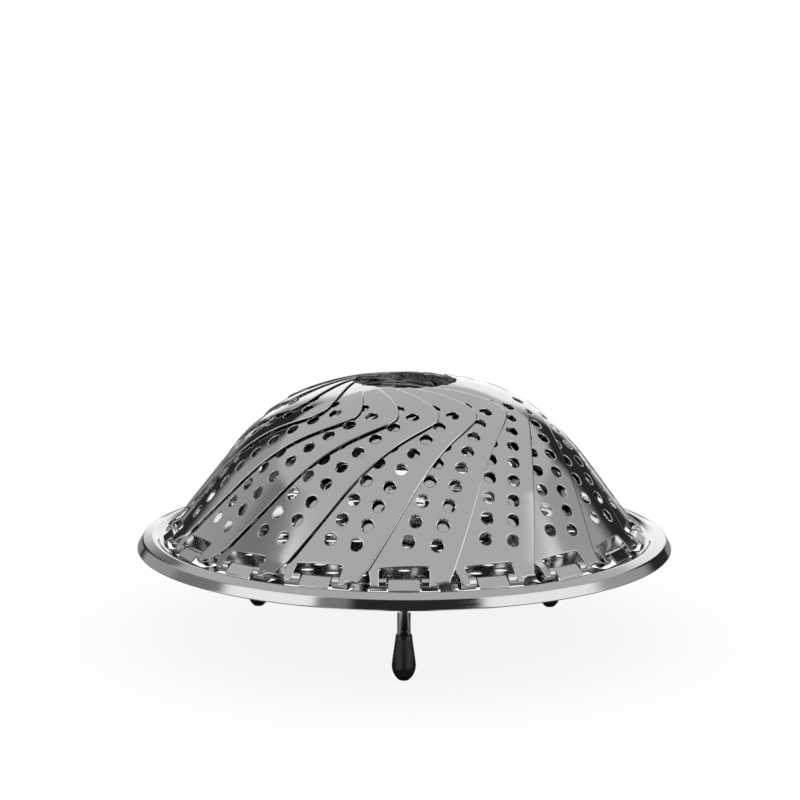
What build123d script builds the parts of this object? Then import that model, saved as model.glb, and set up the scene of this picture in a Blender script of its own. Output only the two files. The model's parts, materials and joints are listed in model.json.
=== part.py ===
from build123d import *
import math
import os

# Folding steamer basket, closed: a pressed tray on three folding legs, with leaves that
# overlap into a dome and swing outwards on hinge tabs lanced from the tray.
# Millimetres, +Z up. The origin is on the basket's axis, at the height of the foot bottoms.
# Azimuth 0 is the front, at -Y, and azimuths grow towards +X.

# Tray: floor, step, hinge channel, raised crown and flared skirt
ring_radius = 85.0
ring_height = 28.6
tray_sheet = 0.6
skirt_height = 3.0
skirt_flare = 1.8
shoulder_round = 1.2
crown_rise = 1.15
crown_width = 3.7
crown_round = 1.5
channel_depth = 1.27
channel_slope_width = 1.7
channel_round = 0.6
floor_inset = 21.0
floor_depth = 0.48
step_width = 3.2
step_round = 1.5
tray_hole_diameter = 4.0
tray_hole_pitch = 8.6
tray_hole_first_radius = 17.0
tray_hole_edge = 5.0

# Windows and hinge tabs lanced from the tray's hinge channel, one for each leaf
leaf_count = 18
window_width = 15.4
window_margin = 0.5
window_corner = 1.2
tab_width = 9.2
tab_reach = 3.6
tab_inner_slope = 45.0
tab_outer_slope = 40.0

# Leaves: one sheet each, with its foot curled into a hinge barrel
hinge_inset = 11.8
barrel_radius = 1.45
barrel_length = 19.6
barrel_gap = 0.2
neck_radius = 0.7
neck_gap = 0.25
neck_side_gap = 0.4
leaf_sheet = 0.25
leaf_inset = 0.05
leaf_wall_angle = 51.5
leaf_wall_length = 27.5
leaf_crown_sweep = 42.0
leaf_axis_shift = 6.77
leaf_side_lean = 2.9
leaf_press_angle = 60.0
leaf_span_left = 70.0
leaf_span_right = 85.0
leaf_lap = 18.5
leaf_side_margin = 0.08
leaf_tip_radius = 8.5
mouth_radius = 16.4
slot_width = 14.4
slot_height = 4.1
slot_corner = 0.7
leaf_hole_diameter = 3.7
leaf_hole_pitch = 6.0
leaf_hole_pitch_growth = 0.055

# The leaf's outline, from its lower right corner round to its lower left, each point in
# shares of the reach to its own side and of the leaf's height
outline_shares = (
    (0.425, 0.0), (0.543, 0.147), (0.639, 0.279), (0.741, 0.433), (0.843, 0.592),
    (0.933, 0.718), (0.997, 0.823), (1.0, 0.874), (0.946, 0.914), (0.831, 0.942),
    (0.591, 0.973), (0.288, 0.994), (0.048, 1.0), (-0.276, 0.969), (-0.591, 0.883),
    (-0.866, 0.715), (-1.0, 0.520), (-1.0, 0.335), (-0.913, 0.158), (-0.772, 0.0),
)
# Rows of holes: the lowest hole's place across and up, in shares of the right reach and
# the height, then the row's lean across per unit up, and its count
hole_row_shares = (
    (0.305, 0.141, 0.2965, 9),
    (0.038, 0.155, 0.340, 9),
    (-0.215, 0.199, 0.310, 7),
)

# Legs: a rod with a flattened eye, a rubber boot, and a bracket with its pin and rivets
leg_names = ("front", "right", "left")
leg_inset = 7.6
rod_diameter = 4.0
eye_radius = 2.6
eye_width = 2.4
eye_side_gap = 0.3
eye_end_gap = 0.3
eye_flat_length = 5.0
pivot_drop = 5.0
pin_diameter = 2.0
pin_gap = 0.1
pin_head_diameter = 3.2
pin_head_height = 0.6
bracket_sheet = 0.9
bracket_length = 14.0
bracket_rivet_spacing = 9.4
rivet_diameter = 2.2
rivet_head_diameter = 4.0
rivet_head_height = 0.8
boot_length = 13.8
boot_top_diameter = 4.9
boot_belly_diameter = 7.2
boot_belly_height = 4.4
boot_sole_diameter = 3.0
boot_sole_thickness = 1.8

# Lifting ring, folded flat on the tray's floor under a riveted saddle
wire_diameter = 3.0
ring_inner_width = 25.0
ring_reach = 28.0
ring_bend_radius = 4.5
ring_floor_gap = 0.1
saddle_sheet = 0.8
saddle_width = 9.0
saddle_foot_length = 6.0
saddle_gap = 0.3

# One overrun serves every cut
overrun = 2.0

# Heights and radii that follow from the sizes above
shoulder_height = ring_height + skirt_height
crown_top = shoulder_height + crown_rise
channel_top = crown_top - channel_depth
channel_bottom = channel_top - tray_sheet
shoulder_radius = ring_radius - skirt_flare
crown_radius = shoulder_radius - crown_width
channel_radius = crown_radius - channel_slope_width
floor_radius = ring_radius - floor_inset
floor_top = channel_top - floor_depth
floor_bottom = floor_top - tray_sheet
tray_hole_ring_step = tray_hole_pitch * math.sqrt(3) / 2
hinge_radius = ring_radius - hinge_inset
hinge_height = channel_top + barrel_gap + barrel_radius
neck_length = tab_width + 2 * neck_side_gap
leaf_half_pitch = math.pi * hinge_radius / leaf_count
leaf_reach_right = leaf_half_pitch + leaf_lap
leaf_reach_left = leaf_half_pitch - leaf_side_margin
leaf_step = 360.0 / leaf_count
leg_step = 360.0 / len(leg_names)
leg_circle_radius = floor_radius - leg_inset
pivot_height = floor_bottom - pivot_drop
bracket_width = 2 * (eye_radius + eye_end_gap + bracket_sheet)
ear_inner = eye_width / 2 + eye_side_gap
ear_outer = ear_inner + bracket_sheet
wire_radius = wire_diameter / 2
wire_height = floor_top + ring_floor_gap + wire_radius

# Sections are drawn at the front: x outwards from the basket's axis, y up
front_section = Plane(origin=(0, 0, 0), x_dir=(0, -1, 0), z_dir=(-1, 0, 0))
# A leaf is blanked square to this plane, which lies against its wall: x across, y up it
press_lean = math.radians(leaf_press_angle)
leaf_height = (hinge_radius - leaf_tip_radius) / math.sin(press_lean)
press_plane = Plane(
    origin=(0, -hinge_radius, hinge_height),
    x_dir=(1, 0, 0),
    z_dir=(0, -math.cos(press_lean), math.sin(press_lean)),
)


def turned(shape, index, step):
    """A copy of a piece made at the front, turned about the basket's axis."""
    return Rotation(0, 0, index * step) * shape


def rod_along_x(radius, length):
    """A round bar along X, centred on the origin."""
    return Rotation(0, 90, 0) * Cylinder(radius, length)


def rounded_block(width, depth, height, corner):
    """An upright block with rounded corners, centred on the origin."""
    return extrude(RectangleRounded(width, depth, corner), height / 2, both=True)


def domed_head(height):
    """A rivet's domed head, flat side on the origin and dome upwards."""
    radius = rivet_head_diameter / 2
    sphere_radius = (radius ** 2 + height ** 2) / (2 * height)
    half_angle = math.asin(radius / sphere_radius) / 2
    crown = (0, height)
    middle = (
        sphere_radius * math.sin(half_angle),
        height - sphere_radius * (1 - math.cos(half_angle)),
    )
    edges = [
        Line((0, 0), (radius, 0)),
        ThreePointArc((radius, 0), middle, crown),
        Line(crown, (0, 0)),
    ]
    return revolve(front_section * make_face(edges), Axis.Z)


def rivet(low, high):
    """A rivet on the origin's vertical that grips from low to high, domed at both ends."""
    shank = Pos(0, 0, (low + high) / 2) * Cylinder(rivet_diameter / 2, high - low)
    upper = Pos(0, 0, high) * domed_head(rivet_head_height)
    lower = Pos(0, 0, low) * (Rotation(180, 0, 0) * domed_head(rivet_head_height))
    return shank + upper + lower


def tray_shell():
    """The tray before piercing: a section of even thickness turned about the axis."""
    path = FilletPolyline(
        (0, floor_top),
        (floor_radius, floor_top),
        (floor_radius + step_width, channel_top),
        (channel_radius, channel_top),
        (crown_radius, crown_top),
        (shoulder_radius, shoulder_height),
        (ring_radius, ring_height),
        radius=[step_round, step_round, channel_round, crown_round, shoulder_round],
    )
    section = path.offset_2d(tray_sheet, side=Side.RIGHT, closed=True)
    return revolve(front_section * make_face(section.edges()), Axis.Z)


def tab_spot(radius, lean, along, side):
    """A point of the tab's section: off the arch's end at this lean, along the leg there."""
    x = hinge_radius + radius * math.cos(lean) + side * along * math.sin(lean)
    y = hinge_height + radius * math.sin(lean) - side * along * math.cos(lean)
    return (x, y)


def tab_root_length(radius, lean):
    """How far the tab's inner leg runs from its arch down to the channel's underside."""
    return (hinge_height + radius * math.sin(lean) - channel_bottom) / -math.cos(lean)


tab_inside = neck_radius + neck_gap
tab_outside = tab_inside + tray_sheet
tab_root_lean = math.radians(90.0 + tab_inner_slope)
tab_tongue_lean = math.radians(90.0 - tab_outer_slope)
tab_root_spot = tab_spot(
    tab_inside, tab_root_lean, tab_root_length(tab_inside, tab_root_lean), -1
)
window_inner_radius = tab_root_spot[0]
window_outer_radius = channel_radius - window_margin


def tab():
    """A hinge tab at the front: inner leg, arch over a leaf's neck, tongue pointing out."""
    crest_lean = (tab_root_lean + tab_tongue_lean) / 2
    tongue = (tab_reach - tab_outside * math.cos(tab_tongue_lean)) / math.sin(tab_tongue_lean)
    outer_root = tab_root_length(tab_outside, tab_root_lean)
    root_out = tab_spot(tab_outside, tab_root_lean, outer_root, -1)
    arch_out = [
        tab_spot(tab_outside, lean, 0, 1)
        for lean in (tab_root_lean, crest_lean, tab_tongue_lean)
    ]
    arch_in = [
        tab_spot(tab_inside, lean, 0, 1)
        for lean in (tab_tongue_lean, crest_lean, tab_root_lean)
    ]
    tip_out = tab_spot(tab_outside, tab_tongue_lean, tongue, 1)
    tip_in = tab_spot(tab_inside, tab_tongue_lean, tongue, 1)
    edges = [
        Line(root_out, arch_out[0]),
        ThreePointArc(*arch_out),
        Line(arch_out[2], tip_out),
        Line(tip_out, tip_in),
        Line(tip_in, arch_in[0]),
        ThreePointArc(*arch_in),
        Line(arch_in[2], tab_root_spot),
        Line(tab_root_spot, root_out),
    ]
    return extrude(front_section * make_face(edges), tab_width / 2, both=True)


def window():
    """The cutter for one window in the hinge channel, at the front."""
    depth = window_outer_radius - window_inner_radius
    block = rounded_block(window_width, depth, tray_sheet + 2 * overrun, window_corner)
    centre = -(window_outer_radius + window_inner_radius) / 2
    return Pos(0, centre, channel_top - tray_sheet / 2) * block


def tray_holes():
    """Cutters for the floor's holes, in rings that leave the leg brackets their seats."""
    cutters = []
    seat_half_width = bracket_length / 2 + tray_hole_diameter / 2
    seat_half_depth = bracket_width / 2 + tray_hole_diameter / 2
    cutter = Cylinder(tray_hole_diameter / 2, tray_sheet + 2 * overrun)
    reach = floor_radius - tray_hole_edge - tray_hole_first_radius
    for ring in range(1 + math.floor(reach / tray_hole_ring_step)):
        radius = tray_hole_first_radius + ring * tray_hole_ring_step
        per_leg = round(2 * math.pi * radius / tray_hole_pitch / len(leg_names))
        for leg_part in range(per_leg):
            turn = (leg_part + (ring % 2) / 2) / per_leg * leg_step
            offset = math.radians(turn if turn < leg_step / 2 else turn - leg_step)
            across = radius * math.sin(offset)
            along = radius * math.cos(offset) - leg_circle_radius
            if abs(across) < seat_half_width and abs(along) < seat_half_depth:
                continue
            for leg in range(len(leg_names)):
                place = Rotation(0, 0, turn + leg * leg_step) * Pos(0, -radius, floor_top)
                cutters.append(place * cutter)
    return cutters


def rivet_places():
    """Where rivets pass through the tray's floor: two to a leg bracket, two to the saddle."""
    places = []
    for leg in range(len(leg_names)):
        for side in (-1, 1):
            spot = Pos(side * bracket_rivet_spacing / 2, -leg_circle_radius, 0)
            places.append(Rotation(0, 0, leg * leg_step) * spot)
    for side in (-1, 1):
        places.append(Pos(side * saddle_rivet_reach, 0, 0))
    return places


saddle_inside = wire_radius + saddle_gap
saddle_outside = saddle_inside + saddle_sheet
saddle_rivet_reach = saddle_outside + saddle_foot_length / 2


def base_tray():
    """The tray: one pressing with its windows, hinge tabs, floor holes and rivet holes."""
    tray = tray_shell()
    windows = [turned(window(), index, leaf_step) for index in range(leaf_count)]
    rivet_cutter = Cylinder(rivet_diameter / 2, tray_sheet + 2 * overrun)
    rivet_holes = [place * Pos(0, 0, floor_top) * rivet_cutter for place in rivet_places()]
    tray = tray.cut(*windows, *tray_holes(), *rivet_holes)
    tabs = [turned(tab(), index, leaf_step) for index in range(leaf_count)]
    return tray.fuse(*tabs)


def leaf_shell():
    """A leaf's sheet before blanking: a cone's wall rolling over into a crown.

    It is turned about an upright line beside the basket's axis, so each leaf's right side
    stands further out than its left and lies over its neighbour. The whole sheet then leans
    a little to its right about the middle of its hinge, which closes the seam.
    """
    wall = math.radians(leaf_wall_angle)
    top = math.radians(leaf_wall_angle - leaf_crown_sweep)
    middle = (wall + top) / 2
    outer_offset = barrel_radius - leaf_inset

    def on_wall(offset, along):
        """A point on the straight wall, this far out from the hinge's line."""
        x = hinge_radius + offset * math.sin(wall) - along * math.cos(wall)
        y = hinge_height + offset * math.cos(wall) + along * math.sin(wall)
        return (x, y)

    crown_start = on_wall(outer_offset, leaf_wall_length)
    outer_radius = crown_start[0] / math.sin(wall)
    crown_centre_height = crown_start[1] - outer_radius * math.cos(wall)

    def on_crown(radius, lean):
        """A point on the crown, a sphere about the turning axis, where the wall leans so."""
        return (radius * math.sin(lean), crown_centre_height + radius * math.cos(lean))

    inner_offset = outer_offset - leaf_sheet
    inner_radius = outer_radius - leaf_sheet
    edges = [
        Line(on_wall(outer_offset, -overrun), crown_start),
        ThreePointArc(*(on_crown(outer_radius, lean) for lean in (wall, middle, top))),
        Line(on_crown(outer_radius, top), on_crown(inner_radius, top)),
        ThreePointArc(*(on_crown(inner_radius, lean) for lean in (top, middle, wall))),
        Line(on_wall(inner_offset, leaf_wall_length), on_wall(inner_offset, -overrun)),
        Line(on_wall(inner_offset, -overrun), on_wall(outer_offset, -overrun)),
    ]
    profile = front_section * make_face(edges)
    shell = revolve(profile, Axis.Z, revolution_arc=leaf_span_left + leaf_span_right)
    shell = Pos(leaf_axis_shift, 0, 0) * (Rotation(0, 0, -leaf_span_left) * shell)
    shell = Rotation(0, leaf_side_lean, 0) * (Pos(0, hinge_radius, -hinge_height) * shell)
    return Pos(0, -hinge_radius, hinge_height) * shell


def leaf_outline():
    """The leaf's blank: a smooth edge from foot to foot round the shoulder and the tip."""
    points = [
        (across * (leaf_reach_right if across > 0 else leaf_reach_left), up * leaf_height)
        for across, up in outline_shares
    ]
    return make_face([Spline(*points), Line(points[-1], points[0])])


def leaf_holes():
    """The leaf's rows of round holes, as faces on the press plane."""
    holes = []
    for across_share, up_share, row_lean, count in hole_row_shares:
        for index in range(count):
            rise = index * (leaf_hole_pitch + index * leaf_hole_pitch_growth)
            across = across_share * leaf_reach_right + row_lean * rise
            up = up_share * leaf_height + rise
            holes.append(Pos(across, up) * Circle(leaf_hole_diameter / 2))
    return holes


def hinge_barrel():
    """The curl at a leaf's foot, necked down where its hinge tab bears on it."""
    end_length = (barrel_length - neck_length) / 2
    end_centre = (barrel_length - end_length) / 2
    neck = rod_along_x(neck_radius, neck_length)
    left = Pos(-end_centre, 0, 0) * rod_along_x(barrel_radius, end_length)
    right = Pos(end_centre, 0, 0) * rod_along_x(barrel_radius, end_length)
    return Pos(0, -hinge_radius, hinge_height) * (left + neck + right)


def leaf():
    """The front leaf, closed."""
    depth = ring_radius
    blank = extrude(press_plane * leaf_outline(), depth, both=True)
    sheet = leaf_shell() & blank
    slot_face = Pos(0, (slot_height - overrun) / 2) * RectangleRounded(
        slot_width, slot_height + overrun, slot_corner
    )
    faces = [slot_face] + leaf_holes()
    cutters = [extrude(press_plane * face, depth, both=True) for face in faces]
    mouth = Pos(0, 0, ring_height + ring_radius / 2) * Cylinder(mouth_radius, ring_radius)
    sheet = sheet.cut(*cutters, mouth)
    return sheet + hinge_barrel()


def at_leg(shape, leg):
    """A piece made about the leg's pivot, put in its place under the floor."""
    return turned(Pos(0, -leg_circle_radius, pivot_height) * shape, leg, leg_step)


def leg_rod(leg):
    """A leg: a round rod, flattened at the top into an eye for the pin."""
    length = pivot_height - boot_sole_thickness
    rod = Pos(0, 0, -length / 2) * Cylinder(rod_diameter / 2, length)
    flat_block = Box(rod_diameter, rod_diameter + 2 * overrun, 2 * eye_flat_length)
    cheek = (eye_width + rod_diameter) / 2
    rod = rod.cut(Pos(cheek, 0, 0) * flat_block, Pos(-cheek, 0, 0) * flat_block)
    eye = rod_along_x(eye_radius, eye_width)
    bore = rod_along_x(pin_diameter / 2 + pin_gap, rod_diameter + 2 * overrun)
    return at_leg((rod + eye) - bore, leg)


def leg_boot(leg):
    """A rubber boot pushed onto a rod's end: a flared sleeve with a round, flat-soled foot."""
    belly_radius = boot_belly_diameter / 2
    sole = (boot_sole_diameter / 2, 0)
    belly = (belly_radius, boot_belly_height)
    rim = (boot_top_diameter / 2, boot_length)
    round_radius = (
        (belly_radius - sole[0]) ** 2 + boot_belly_height ** 2
    ) / (2 * (belly_radius - sole[0]))
    half_angle = math.asin(boot_belly_height / round_radius) / 2
    low_side = (
        belly_radius - round_radius * (1 - math.cos(half_angle)),
        boot_belly_height - round_radius * math.sin(half_angle),
    )
    edges = [
        Line((0, 0), sole),
        ThreePointArc(sole, low_side, belly),
        Line(belly, rim),
        Line(rim, (0, boot_length)),
        Line((0, boot_length), (0, 0)),
    ]
    boot = revolve(front_section * make_face(edges), Axis.Z)
    bore_length = boot_length - boot_sole_thickness + overrun
    bore = Pos(0, 0, boot_sole_thickness + bore_length / 2)
    boot = boot - bore * Cylinder(rod_diameter / 2, bore_length)
    return at_leg(Pos(0, 0, -pivot_height) * boot, leg)


def leg_bracket(leg):
    """A folded bracket: base on the floor's underside, two ears, and a web behind the eye."""
    base_height = pivot_drop - bracket_sheet / 2
    base = Pos(0, 0, base_height) * Box(bracket_length, bracket_width, bracket_sheet)
    ear_block = Pos(0, 0, pivot_drop / 2) * Box(bracket_sheet, 2 * eye_radius, pivot_drop)
    ear = ear_block + rod_along_x(eye_radius, bracket_sheet)
    ear_centre = (ear_inner + ear_outer) / 2
    ears = [Pos(side * ear_centre, 0, 0) * ear for side in (-1, 1)]
    web_centre = -(bracket_width - bracket_sheet) / 2
    web = Pos(0, web_centre, pivot_drop / 2) * Box(2 * ear_outer, bracket_sheet, pivot_drop)
    bracket = base.fuse(*ears, web)
    pin_bore = rod_along_x(pin_diameter / 2, bracket_length)
    rivet_bores = [
        Pos(side * bracket_rivet_spacing / 2, 0, base_height)
        * Cylinder(rivet_diameter / 2, bracket_sheet + 2 * overrun)
        for side in (-1, 1)
    ]
    return at_leg(bracket.cut(pin_bore, *rivet_bores), leg)


def leg_pin(leg):
    """The pin through a bracket's ears and a leg's eye, headed at both ends."""
    pin = rod_along_x(pin_diameter / 2, 2 * ear_outer)
    head = rod_along_x(pin_head_diameter / 2, pin_head_height)
    head_centre = ear_outer + pin_head_height / 2
    return at_leg(pin.fuse(Pos(head_centre, 0, 0) * head, Pos(-head_centre, 0, 0) * head), leg)


def bracket_rivets(leg):
    """The two rivets that hold a leg bracket under the floor."""
    grip = rivet(floor_bottom - bracket_sheet, floor_top)
    pair = [
        Pos(side * bracket_rivet_spacing / 2, -leg_circle_radius, 0) * grip for side in (-1, 1)
    ]
    return turned(Compound(children=pair), leg, leg_step)


def lift_ring():
    """A wire ring with a straight bar at the axis, lying flat towards +X."""
    half_width = (ring_inner_width + wire_diameter) / 2
    reach = ring_reach - wire_radius - half_width
    bend = ring_bend_radius
    diagonal = bend * math.sqrt(0.5)
    edges = [
        Line((0, bend - half_width), (0, half_width - bend)),
        ThreePointArc(
            (0, half_width - bend),
            (bend - diagonal, half_width - bend + diagonal),
            (bend, half_width),
        ),
        Line((bend, half_width), (reach, half_width)),
        ThreePointArc((reach, half_width), (reach + half_width, 0), (reach, -half_width)),
        Line((reach, -half_width), (bend, -half_width)),
        ThreePointArc(
            (bend, -half_width),
            (bend - diagonal, bend - half_width - diagonal),
            (0, bend - half_width),
        ),
    ]
    path = Wire(edges)
    section = Plane(origin=(0, 0, 0), z_dir=(0, 1, 0)) * Circle(wire_radius)
    return Pos(0, 0, wire_height) * sweep(section, path=path)


def ring_saddle():
    """A strap bent over the ring's bar, with a foot riveted down on each side."""
    arch = Rotation(90, 0, 0) * (
        Cylinder(saddle_outside, saddle_width) - Cylinder(saddle_inside, saddle_width + overrun)
    )
    half = Pos(0, 0, saddle_outside) * Box(
        2 * saddle_outside, saddle_width + overrun, 2 * saddle_outside
    )
    arch = Pos(0, 0, wire_height) * (arch & half)
    pieces = []
    leg_height = wire_height - floor_top
    for side in (-1, 1):
        leg = Box(saddle_sheet, saddle_width, leg_height)
        leg_centre = side * (saddle_inside + saddle_sheet / 2)
        pieces.append(Pos(leg_centre, 0, floor_top + leg_height / 2) * leg)
        foot = Box(saddle_foot_length + saddle_sheet, saddle_width, saddle_sheet)
        foot_centre = side * (saddle_inside + (saddle_foot_length + saddle_sheet) / 2)
        pieces.append(Pos(foot_centre, 0, floor_top + saddle_sheet / 2) * foot)
    saddle = arch.fuse(*pieces)
    bore = Cylinder(rivet_diameter / 2, saddle_sheet + 2 * overrun)
    bores = [Pos(side * saddle_rivet_reach, 0, floor_top) * bore for side in (-1, 1)]
    return saddle.cut(*bores)


def saddle_rivets():
    """The two rivets that hold the ring's saddle on the floor."""
    grip = rivet(floor_bottom, floor_top + saddle_sheet)
    pair = [Pos(side * saddle_rivet_reach, 0, 0) * grip for side in (-1, 1)]
    return Compound(children=pair)


nodes = {"base_tray": base_tray()}
front_leaf = leaf()
for index in range(leaf_count):
    nodes[f"leaf_{index + 1:02d}"] = turned(front_leaf, index, leaf_step)
for leg, name in enumerate(leg_names):
    nodes[f"{name}_leg_bracket"] = leg_bracket(leg)
    nodes[f"{name}_bracket_rivets"] = bracket_rivets(leg)
    nodes[f"{name}_leg_pin"] = leg_pin(leg)
    nodes[f"{name}_leg"] = leg_rod(leg)
    nodes[f"{name}_leg_boot"] = leg_boot(leg)
nodes["lift_ring"] = lift_ring()
nodes["ring_saddle"] = ring_saddle()
nodes["saddle_rivets"] = saddle_rivets()

os.makedirs("parts", exist_ok=True)
for name, shape in nodes.items():
    export_step(shape, f"parts/{name}.step")
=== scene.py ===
"""A closed folding steamer basket: lapped steel leaves on a pressed tray with three legs."""
from __future__ import annotations

import json
import logging
import math
from abc import ABC, abstractmethod
from collections.abc import Callable, Iterable, Sequence
from dataclasses import dataclass
from enum import Enum

import bmesh
import bpy
import numpy as np
from mathutils import Matrix, Vector
from mathutils.geometry import delaunay_2d_cdt


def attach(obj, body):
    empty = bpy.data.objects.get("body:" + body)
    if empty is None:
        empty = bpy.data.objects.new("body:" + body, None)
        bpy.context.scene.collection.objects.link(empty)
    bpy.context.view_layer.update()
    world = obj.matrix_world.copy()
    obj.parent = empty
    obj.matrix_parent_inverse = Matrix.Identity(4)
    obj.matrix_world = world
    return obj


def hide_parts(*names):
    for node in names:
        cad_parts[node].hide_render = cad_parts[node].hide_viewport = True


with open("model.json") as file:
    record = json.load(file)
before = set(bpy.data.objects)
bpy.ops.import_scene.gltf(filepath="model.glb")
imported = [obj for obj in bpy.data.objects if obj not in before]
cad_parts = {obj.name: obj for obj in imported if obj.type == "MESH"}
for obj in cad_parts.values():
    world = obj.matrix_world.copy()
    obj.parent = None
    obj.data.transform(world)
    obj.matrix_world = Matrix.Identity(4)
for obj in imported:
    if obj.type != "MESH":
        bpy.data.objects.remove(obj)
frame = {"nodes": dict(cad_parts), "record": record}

log = logging.getLogger("basket")

Point2 = tuple[float, float]
Colour = tuple[float, float, float]
Spot = tuple[Vector, Vector]
Part = tuple[list[Vector], list[tuple[int, ...]], list[Vector] | None]
Mesh = bpy.types.Mesh
Socket = bpy.types.NodeSocket

MM = 0.001
WHITE = (1.0, 1.0, 1.0, 1.0)
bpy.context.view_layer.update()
BODY_OF_NODE = {
    node: body
    for body, nodes in frame["record"]["behaviour"]["bodies"].items()
    for node in nodes
}

# Shared by several pieces: lengths in millimetres, a turn in degrees and the leaves' number

HINGE_RADIUS = 73.2
HINGE_HEIGHT = 33.13
LEG_CIRCLE = 56.4
THIRD_TURN = 120.0
PLACES = 18


class Slot(Enum):
    """The record's material slots."""

    POLISHED = "polished_steel"
    SATIN = "satin_steel"
    PLAIN = "plain_steel"
    RUBBER = "black_rubber"


# Finishes


class Tree:
    """A node tree that is built up one node at a time."""

    def __init__(self, tree: bpy.types.NodeTree) -> None:
        """Start from an empty tree.

        Args:
            tree: A material's, world's or modifier's node tree.
        """
        self.tree = tree
        tree.nodes.clear()

    def add(self, kind: str, sockets: dict | None = None, **settings) -> bpy.types.Node:
        """Add a node, set it up and fill its sockets.

        Args:
            kind: The node's type name.
            sockets: Input name or number to a value, or to an output to link.
            settings: The node's own properties.

        Returns:
            The new node.
        """
        node = self.tree.nodes.new(kind)
        for name, value in settings.items():
            setattr(node, name, value)
        for key, value in (sockets or {}).items():
            if isinstance(value, Socket):
                self.tree.links.new(value, node.inputs[key])
            else:
                node.inputs[key].default_value = value
        return node

    def out(self, kind: str, sockets: dict | None = None, **settings) -> Socket:
        """Add a node and return its first output."""
        return self.add(kind, sockets, **settings).outputs[0]

    def math(self, operation: str, *values) -> Socket:
        """Add a Math node and return its output."""
        return self.out("ShaderNodeMath", dict(enumerate(values)), operation=operation)

    def place(self) -> Socket:
        """Return the piece's own coordinates."""
        return self.add("ShaderNodeTexCoord").outputs["Object"]

    def parts(self, place: Socket) -> Iterable[Socket]:
        """Split a place or direction into X, Y and Z."""
        return self.add("ShaderNodeSeparateXYZ", {0: place}).outputs

    def radius(self, x: Socket, y: Socket) -> Socket:
        """Return the distance from the upright axis."""
        squares = self.math("MULTIPLY", x, x), self.math("MULTIPLY", y, y)
        return self.math("SQRT", self.math("ADD", *squares))

    def noise(self, place: Socket, scale: float, detail: float) -> Socket:
        """Add a noise pattern and return its value."""
        return self.out(
            "ShaderNodeTexNoise", {"Vector": place, "Scale": scale, "Detail": detail}
        )

    def stretched(self, place: Socket, rise: float) -> Socket:
        """Scale a place's height, which draws a pattern out upwards."""
        return self.out("ShaderNodeMapping", {"Vector": place, "Scale": (1.0, 1.0, rise)})

    def spread(self, value: Socket, levels: Point2, target: Point2, **settings) -> Socket:
        """Carry a value from one range over to another.

        Args:
            value: The value.
            levels: The range's ends in the value.
            target: What the ends become.
            settings: The node's own properties.

        Returns:
            The carried value.
        """
        return self.out(
            "ShaderNodeMapRange",
            {"Value": value, "From Min": levels[0], "From Max": levels[1],
             "To Min": target[0], "To Max": target[1]},
            **settings,
        )

    def bump(self, height: Socket, depth: float, **under: Socket) -> Socket:
        """Add a bump of a depth in metres and return its normal."""
        return self.out(
            "ShaderNodeBump", {"Height": height, "Distance": depth, "Strength": 1.0, **under}
        )

    def metal(self, colour: Colour, gloss: Socket, normal: Socket, **more) -> Socket:
        """Add a metal surface.

        Args:
            colour: Its colour.
            gloss: Its roughness.
            normal: Its bumped normal.
            more: Other inputs of the Principled node.

        Returns:
            The surface output.
        """
        return self.out(
            "ShaderNodeBsdfPrincipled",
            {"Base Color": (*colour, 1.0), "Metallic": 1.0, "Roughness": gloss,
             "Normal": normal, **more},
        )

    def ramp(self, factor: Socket, stops: Iterable[Point2]) -> Socket:
        """Add a grey colour ramp.

        Args:
            factor: The value that is looked up.
            stops: Places from 0 to 1, each with its grey level.

        Returns:
            The ramp's colour output.
        """
        node = self.add("ShaderNodeValToRGB", {0: factor})
        elements = node.color_ramp.elements
        while len(elements) > 1:
            elements.remove(elements[-1])
        for number, (place, level) in enumerate(stops):
            element = elements[0] if number == 0 else elements.new(place)
            element.position = place
            element.color = (level, level, level, 1.0)
        return node.outputs[0]

    def zones(self, x: Socket, y: Socket, stops: Iterable[Point2]) -> Socket:
        """Look a grey level up by the direction round the upright axis.

        Args:
            x: The X of a place or direction.
            y: Its Y.
            stops: Degrees from the front, each with its grey level.

        Returns:
            The level's colour output.
        """
        turn = self.math("ARCTAN2", x, self.math("MULTIPLY", y, -1.0))
        share = self.math("ADD", self.math("DIVIDE", turn, 2 * math.pi), 0.5)
        return self.ramp(share, [((degrees + 180) / 360, level) for degrees, level in stops])

    def mixed(self, factor: Socket, first: Socket | tuple, second: Socket | tuple) -> Socket:
        """Mix two colours, by the Mix node's colour sockets."""
        return self.add(
            "ShaderNodeMix", {"Factor": factor, 6: first, 7: second}, data_type="RGBA"
        ).outputs[2]

    def blended(self, factor: Socket, first: Socket, second: Socket) -> Socket:
        """Blend two surfaces."""
        return self.out("ShaderNodeMixShader", {0: factor, 1: first, 2: second})


class Finish(ABC):
    """A surface finish, made into a material once and then shared."""

    made: dict[str, bpy.types.Material] = {}

    @abstractmethod
    def dress(self, tree: Tree) -> Socket:
        """Build the finish's nodes and return the surface output."""

    def material(self) -> bpy.types.Material:
        """Return the finish's material, made on first use."""
        name = type(self).__name__
        if name not in Finish.made:
            material = bpy.data.materials.new(name)
            material.use_nodes = True
            tree = Tree(material.node_tree)
            tree.add("ShaderNodeOutputMaterial", {"Surface": self.dress(tree)})
            Finish.made[name] = material
        return Finish.made[name]


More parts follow.
